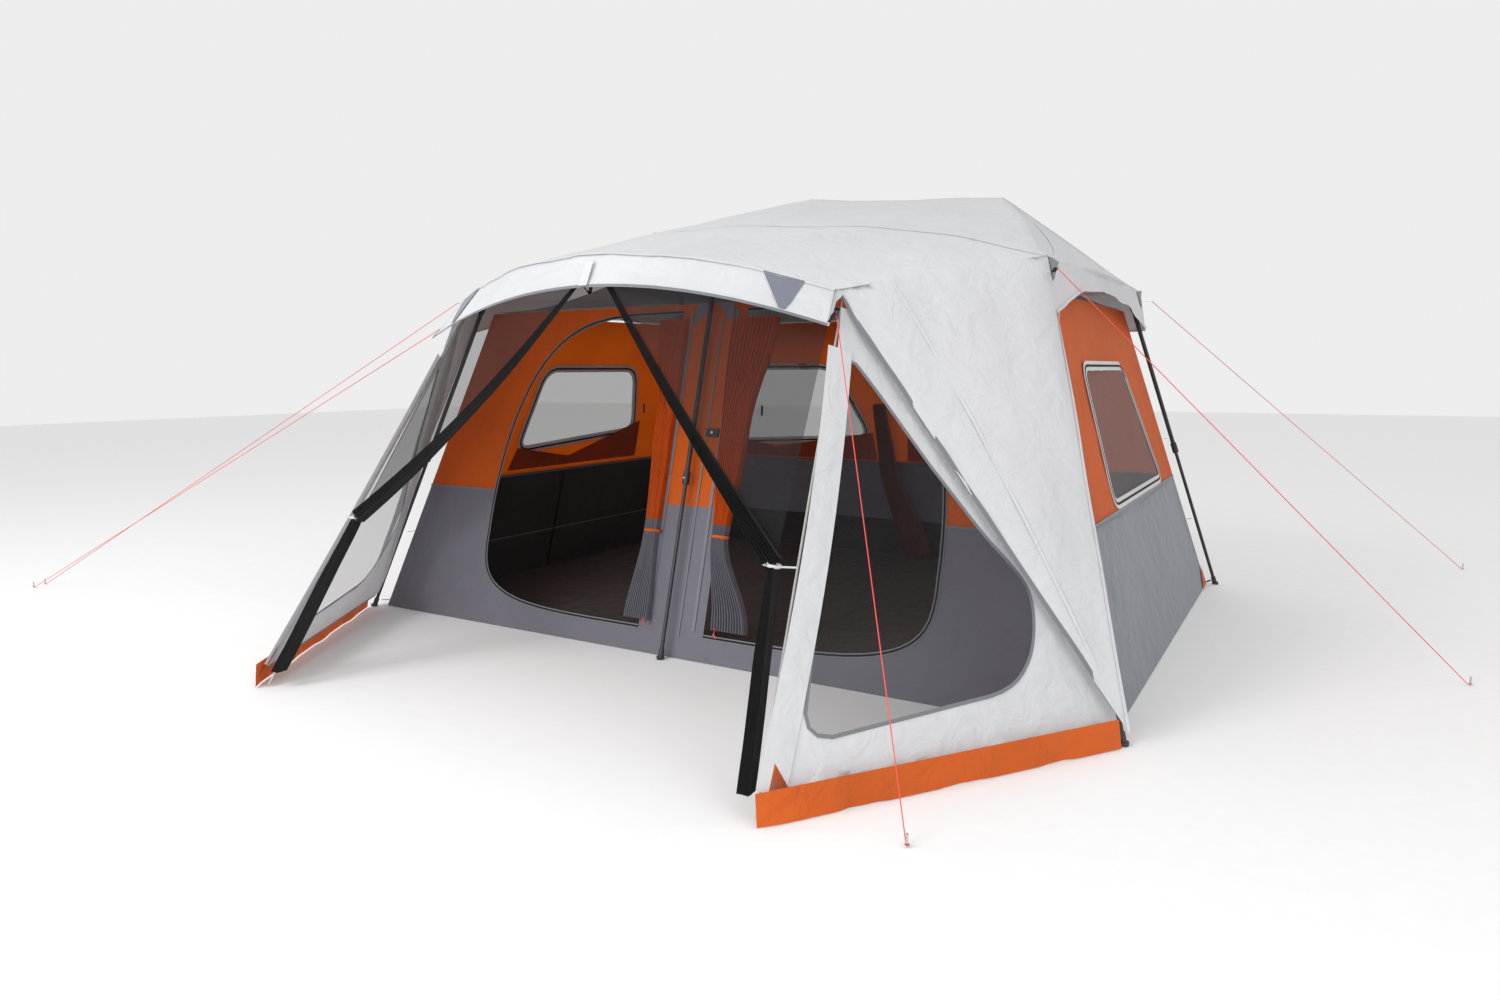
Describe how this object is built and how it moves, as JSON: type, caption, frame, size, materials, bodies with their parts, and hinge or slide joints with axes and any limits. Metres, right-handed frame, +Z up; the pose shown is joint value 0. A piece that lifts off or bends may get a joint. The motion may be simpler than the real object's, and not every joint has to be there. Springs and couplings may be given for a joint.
{
  "type": "pop up tent",
  "caption": "Instant cabin tent with a screened porch: hinged hub frame, telescoping legs, wide canopy and two D-shaped doors.",
  "frame": {"origin": "middle of the footprint on the ground, without the guy lines and pegs", "axes": "+Z up, -Y towards the porch, +X to the right seen from the porch"},
  "size_m": [8.3813, 5.8687, 2.4659],
  "materials": {
    "black_tube": "satin black powder-coated steel tube",
    "steel_tube": "grey coated steel tube with light scuffs",
    "black_plastic": "fine-grained moulded nylon",
    "button_metal": "small bright steel button",
    "fibreglass": "pale ground fibreglass rod",
    "canopy_white": "light grey coated polyester taffeta, soft sheen, wrinkled",
    "wall_orange": "orange coated polyester with grey lower band",
    "wall_grey": "grey coated polyester",
    "floor_brown": "dark woven polyethylene groundsheet",
    "mesh_black": "fine black insect mesh",
    "porch_white": "light grey polyester round a mesh window",
    "skirt_orange": "orange coated polyester mud skirt",
    "curtain_brown": "brown-orange gathered polyester",
    "guy_red": "coral red braided cord",
    "peg_steel": "round steel peg"
  },
  "bodies": {
    "root": {"floor_sheet": "floor_brown", "front_wall": "wall_orange", "back_wall": "wall_orange", "left_wall": "wall_orange", "right_wall": "wall_orange", "mesh_ceiling": "mesh_black", "fly_canopy": "canopy_white", "porch_wall_left": "porch_white", "porch_wall_right": "porch_white", "porch_screen": "mesh_black", "mud_skirt": "skirt_orange", "door_panels": "wall_grey", "room_divider": "curtain_brown", "guy_line_front_left": "guy_red", "guy_line_front_right": "guy_red", "guy_line_rear_left": "guy_red", "guy_line_rear_right": "guy_red", "guy_line_porch_left": "guy_red", "guy_line_porch_right": "guy_red", "ground_pegs": "peg_steel"},
    "hub_centre": {"centre_hub": "black_plastic"},
    "arm_front_middle": {"roof_arm_front_middle": "steel_tube"},
    "leg_front_middle": {"eave_knuckle_front_middle": "black_plastic", "upper_leg_front_middle": "black_tube"},
    "foot_front_middle": {"lower_leg_front_middle": "steel_tube"},
    "button_front_middle": {"lock_button_front_middle": "button_metal"},
    "arm_rear_middle": {"roof_arm_rear_middle": "steel_tube"},
    "leg_rear_middle": {"eave_knuckle_rear_middle": "black_plastic", "upper_leg_rear_middle": "black_tube"},
    "foot_rear_middle": {"lower_leg_rear_middle": "steel_tube"},
    "button_rear_middle": {"lock_button_rear_middle": "button_metal"},
    "ridge_left": {"ridge_tube_left": "steel_tube"},
    "hub_left": {"side_hub_left": "black_plastic"},
    "arm_front_left": {"roof_arm_front_left": "steel_tube"},
    "leg_front_left": {"eave_knuckle_front_left": "black_plastic", "upper_leg_front_left": "black_tube"},
    "foot_front_left": {"lower_leg_front_left": "steel_tube"},
    "button_front_left": {"lock_button_front_left": "button_metal"},
    "arm_rear_left": {"roof_arm_rear_left": "steel_tube"},
    "leg_rear_left": {"eave_knuckle_rear_left": "black_plastic", "upper_leg_rear_left": "black_tube"},
    "foot_rear_left": {"lower_leg_rear_left": "steel_tube"},
    "button_rear_left": {"lock_button_rear_left": "button_metal"},
    "ridge_right": {"ridge_tube_right": "steel_tube"},
    "hub_right": {"side_hub_right": "black_plastic"},
    "arm_front_right": {"roof_arm_front_right": "steel_tube"},
    "leg_front_right": {"eave_knuckle_front_right": "black_plastic", "upper_leg_front_right": "black_tube"},
    "foot_front_right": {"lower_leg_front_right": "steel_tube"},
    "button_front_right": {"lock_button_front_right": "button_metal"},
    "arm_rear_right": {"roof_arm_rear_right": "steel_tube"},
    "leg_rear_right": {"eave_knuckle_rear_right": "black_plastic", "upper_leg_rear_right": "black_tube"},
    "foot_rear_right": {"lower_leg_rear_right": "steel_tube"},
    "button_rear_right": {"lock_button_rear_right": "button_metal"},
    "porch_bow": {"porch_bow": "fibreglass"},
    "light_unit": {"light_control": "black_plastic"},
    "light_button": {"light_button": "button_metal"}
  },
  "joints": [
    {"name": "frame_fold", "type": "slide", "parent": "root", "child": "hub_centre", "axis": [0, 0, -1], "range_m": [0, 1.152], "deforming": ["front_wall", "back_wall", "left_wall", "right_wall", "mesh_ceiling", "fly_canopy", "porch_wall_left", "porch_wall_right", "porch_screen", "mud_skirt", "door_panels", "room_divider", "guy_line_front_left", "guy_line_front_right", "guy_line_rear_left", "guy_line_rear_right", "guy_line_porch_left", "guy_line_porch_right"]},
    {"name": "arm_fold_front_middle", "type": "hinge", "parent": "hub_centre", "child": "arm_front_middle", "pos_m": [0, 0.595, 2.41], "axis": [-1, 0, 0], "range_deg": [0, 114.04]},
    {"name": "leg_fold_front_middle", "type": "hinge", "parent": "arm_front_middle", "child": "leg_front_middle", "pos_m": [0, -0.402, 1.862], "axis": [1, 0, 0], "range_deg": [0, 129.06]},
    {"name": "leg_slide_front_middle", "type": "slide", "parent": "leg_front_middle", "child": "foot_front_middle", "axis": [0, 0.2696, 0.963], "range_m": [0, 0.7488]},
    {"name": "button_press_front_middle", "type": "slide", "parent": "leg_front_middle", "child": "button_front_middle", "axis": [0, 0.963, -0.2696], "range_m": [0, 0.002], "stiffness_N_per_m": 600, "springref_m": -0.0015},
    {"name": "arm_fold_rear_middle", "type": "hinge", "parent": "hub_centre", "child": "arm_rear_middle", "pos_m": [0, 0.685, 2.41], "axis": [1, 0, 0], "range_deg": [0, 114.04]},
    {"name": "leg_fold_rear_middle", "type": "hinge", "parent": "arm_rear_middle", "child": "leg_rear_middle", "pos_m": [0, 1.682, 1.862], "axis": [-1, 0, 0], "range_deg": [0, 129.06]},
    {"name": "leg_slide_rear_middle", "type": "slide", "parent": "leg_rear_middle", "child": "foot_rear_middle", "axis": [0, -0.2696, 0.963], "range_m": [0, 0.7488]},
    {"name": "button_press_rear_middle", "type": "slide", "parent": "leg_rear_middle", "child": "button_rear_middle", "axis": [0, -0.963, -0.2696], "range_m": [0, 0.002], "stiffness_N_per_m": 600, "springref_m": -0.0015},
    {"name": "ridge_fold_left", "type": "hinge", "parent": "hub_centre", "child": "ridge_left", "pos_m": [-0.045, 0.64, 2.41], "axis": [0, -1, 0], "range_deg": [0, 80.92]},
    {"name": "hub_level_left", "type": "hinge", "parent": "ridge_left", "child": "hub_left", "pos_m": [-1.145, 0.64, 2.3], "axis": [0, 1, 0], "range_deg": [0, 80.92]},
    {"name": "arm_fold_front_left", "type": "hinge", "parent": "hub_left", "child": "arm_front_left", "pos_m": [-1.20863, 0.59904, 2.3], "axis": [-0.9103, 0.4139, 0], "range_deg": [0, 107.18]},
    {"name": "leg_fold_front_left", "type": "hinge", "parent": "arm_front_left", "child": "leg_front_left", "pos_m": [-1.66544, -0.40559, 1.862], "axis": [0.9103, -0.4139, 0], "range_deg": [0, 126.71]},
    {"name": "leg_slide_front_left", "type": "slide", "parent": "leg_front_left", "child": "foot_front_left", "axis": [0.2603, 0.2603, 0.9298], "range_m": [0, 0.77554]},
    {"name": "button_press_front_left", "type": "slide", "parent": "leg_front_left", "child": "button_front_left", "axis": [0.6574, 0.6574, -0.3682], "range_m": [0, 0.002], "stiffness_N_per_m": 600, "springref_m": -0.0015},
    {"name": "arm_fold_rear_left", "type": "hinge", "parent": "hub_left", "child": "arm_rear_left", "pos_m": [-1.20863, 0.68096, 2.3], "axis": [0.9103, 0.4139, 0], "range_deg": [0, 107.18]},
    {"name": "leg_fold_rear_left", "type": "hinge", "parent": "arm_rear_left", "child": "leg_rear_left", "pos_m": [-1.66544, 1.68559, 1.862], "axis": [-0.9103, -0.4139, 0], "range_deg": [0, 126.71]},
    {"name": "leg_slide_rear_left", "type": "slide", "parent": "leg_rear_left", "child": "foot_rear_left", "axis": [0.2603, -0.2603, 0.9298], "range_m": [0, 0.77554]},
    {"name": "button_press_rear_left", "type": "slide", "parent": "leg_rear_left", "child": "button_rear_left", "axis": [0.6574, -0.6574, -0.3682], "range_m": [0, 0.002], "stiffness_N_per_m": 600, "springref_m": -0.0015},
    {"name": "ridge_fold_right", "type": "hinge", "parent": "hub_centre", "child": "ridge_right", "pos_m": [0.045, 0.64, 2.41], "axis": [0, 1, 0], "range_deg": [0, 80.92]},
    {"name": "hub_level_right", "type": "hinge", "parent": "ridge_right", "child": "hub_right", "pos_m": [1.145, 0.64, 2.3], "axis": [0, -1, 0], "range_deg": [0, 80.92]},
    {"name": "arm_fold_front_right", "type": "hinge", "parent": "hub_right", "child": "arm_front_right", "pos_m": [1.20863, 0.59904, 2.3], "axis": [-0.9103, -0.4139, 0], "range_deg": [0, 107.18]},
    {"name": "leg_fold_front_right", "type": "hinge", "parent": "arm_front_right", "child": "leg_front_right", "pos_m": [1.66544, -0.40559, 1.862], "axis": [0.9103, 0.4139, 0], "range_deg": [0, 126.71]},
    {"name": "leg_slide_front_right", "type": "slide", "parent": "leg_front_right", "child": "foot_front_right", "axis": [-0.2603, 0.2603, 0.9298], "range_m": [0, 0.77554]},
    {"name": "button_press_front_right", "type": "slide", "parent": "leg_front_right", "child": "button_front_right", "axis": [-0.6574, 0.6574, -0.3682], "range_m": [0, 0.002], "stiffness_N_per_m": 600, "springref_m": -0.0015},
    {"name": "arm_fold_rear_right", "type": "hinge", "parent": "hub_right", "child": "arm_rear_right", "pos_m": [1.20863, 0.68096, 2.3], "axis": [0.9103, -0.4139, 0], "range_deg": [0, 107.18]},
    {"name": "leg_fold_rear_right", "type": "hinge", "parent": "arm_rear_right", "child": "leg_rear_right", "pos_m": [1.66544, 1.68559, 1.862], "axis": [-0.9103, 0.4139, 0], "range_deg": [0, 126.71]},
    {"name": "leg_slide_rear_right", "type": "slide", "parent": "leg_rear_right", "child": "foot_rear_right", "axis": [-0.2603, -0.2603, 0.9298], "range_m": [0, 0.77554]},
    {"name": "button_press_rear_right", "type": "slide", "parent": "leg_rear_right", "child": "button_rear_right", "axis": [-0.6574, -0.6574, -0.3682], "range_m": [0, 0.002], "stiffness_N_per_m": 600, "springref_m": -0.0015},
    {"name": "porch_bow_lower", "type": "hinge", "parent": "root", "child": "porch_bow", "pos_m": [0, -2.2, 0.008], "axis": [-1, 0, 0], "range_deg": [0, 56]},
    {"name": "light_unit_drop", "type": "slide", "parent": "root", "child": "light_unit", "axis": [0, 0, -1], "range_m": [0, 1.03]},
    {"name": "light_button_press", "type": "slide", "parent": "light_unit", "child": "light_button", "axis": [0, 0.963, -0.2696], "range_m": [0, 0.002], "stiffness_N_per_m": 400, "springref_m": -0.0015}
  ],
  "couplings": [
    {"joint": "arm_fold_front_middle", "follows": "frame_fold", "rad_per_m": 1.7278},
    {"joint": "leg_fold_front_middle", "follows": "frame_fold", "rad_per_m": 1.9553},
    {"joint": "leg_slide_front_middle", "follows": "frame_fold", "ratio": 0.65},
    {"joint": "arm_fold_rear_middle", "follows": "frame_fold", "rad_per_m": 1.7278},
    {"joint": "leg_fold_rear_middle", "follows": "frame_fold", "rad_per_m": 1.9553},
    {"joint": "leg_slide_rear_middle", "follows": "frame_fold", "ratio": 0.65},
    {"joint": "ridge_fold_left", "follows": "frame_fold", "rad_per_m": 1.2259},
    {"joint": "hub_level_left", "follows": "frame_fold", "rad_per_m": 1.2259},
    {"joint": "arm_fold_front_left", "follows": "frame_fold", "rad_per_m": 1.6238},
    {"joint": "leg_fold_front_left", "follows": "frame_fold", "rad_per_m": 1.9197},
    {"joint": "leg_slide_front_left", "follows": "frame_fold", "ratio": 0.67321},
    {"joint": "arm_fold_rear_left", "follows": "frame_fold", "rad_per_m": 1.6238},
    {"joint": "leg_fold_rear_left", "follows": "frame_fold", "rad_per_m": 1.9197},
    {"joint": "leg_slide_rear_left", "follows": "frame_fold", "ratio": 0.67321},
    {"joint": "ridge_fold_right", "follows": "frame_fold", "rad_per_m": 1.2259},
    {"joint": "hub_level_right", "follows": "frame_fold", "rad_per_m": 1.2259},
    {"joint": "arm_fold_front_right", "follows": "frame_fold", "rad_per_m": 1.6238},
    {"joint": "leg_fold_front_right", "follows": "frame_fold", "rad_per_m": 1.9197},
    {"joint": "leg_slide_front_right", "follows": "frame_fold", "ratio": 0.67321},
    {"joint": "arm_fold_rear_right", "follows": "frame_fold", "rad_per_m": 1.6238},
    {"joint": "leg_fold_rear_right", "follows": "frame_fold", "rad_per_m": 1.9197},
    {"joint": "leg_slide_rear_right", "follows": "frame_fold", "ratio": 0.67321},
    {"joint": "porch_bow_lower", "follows": "frame_fold", "rad_per_m": 0.84842},
    {"joint": "light_unit_drop", "follows": "frame_fold", "ratio": 0.8941}
  ]
}
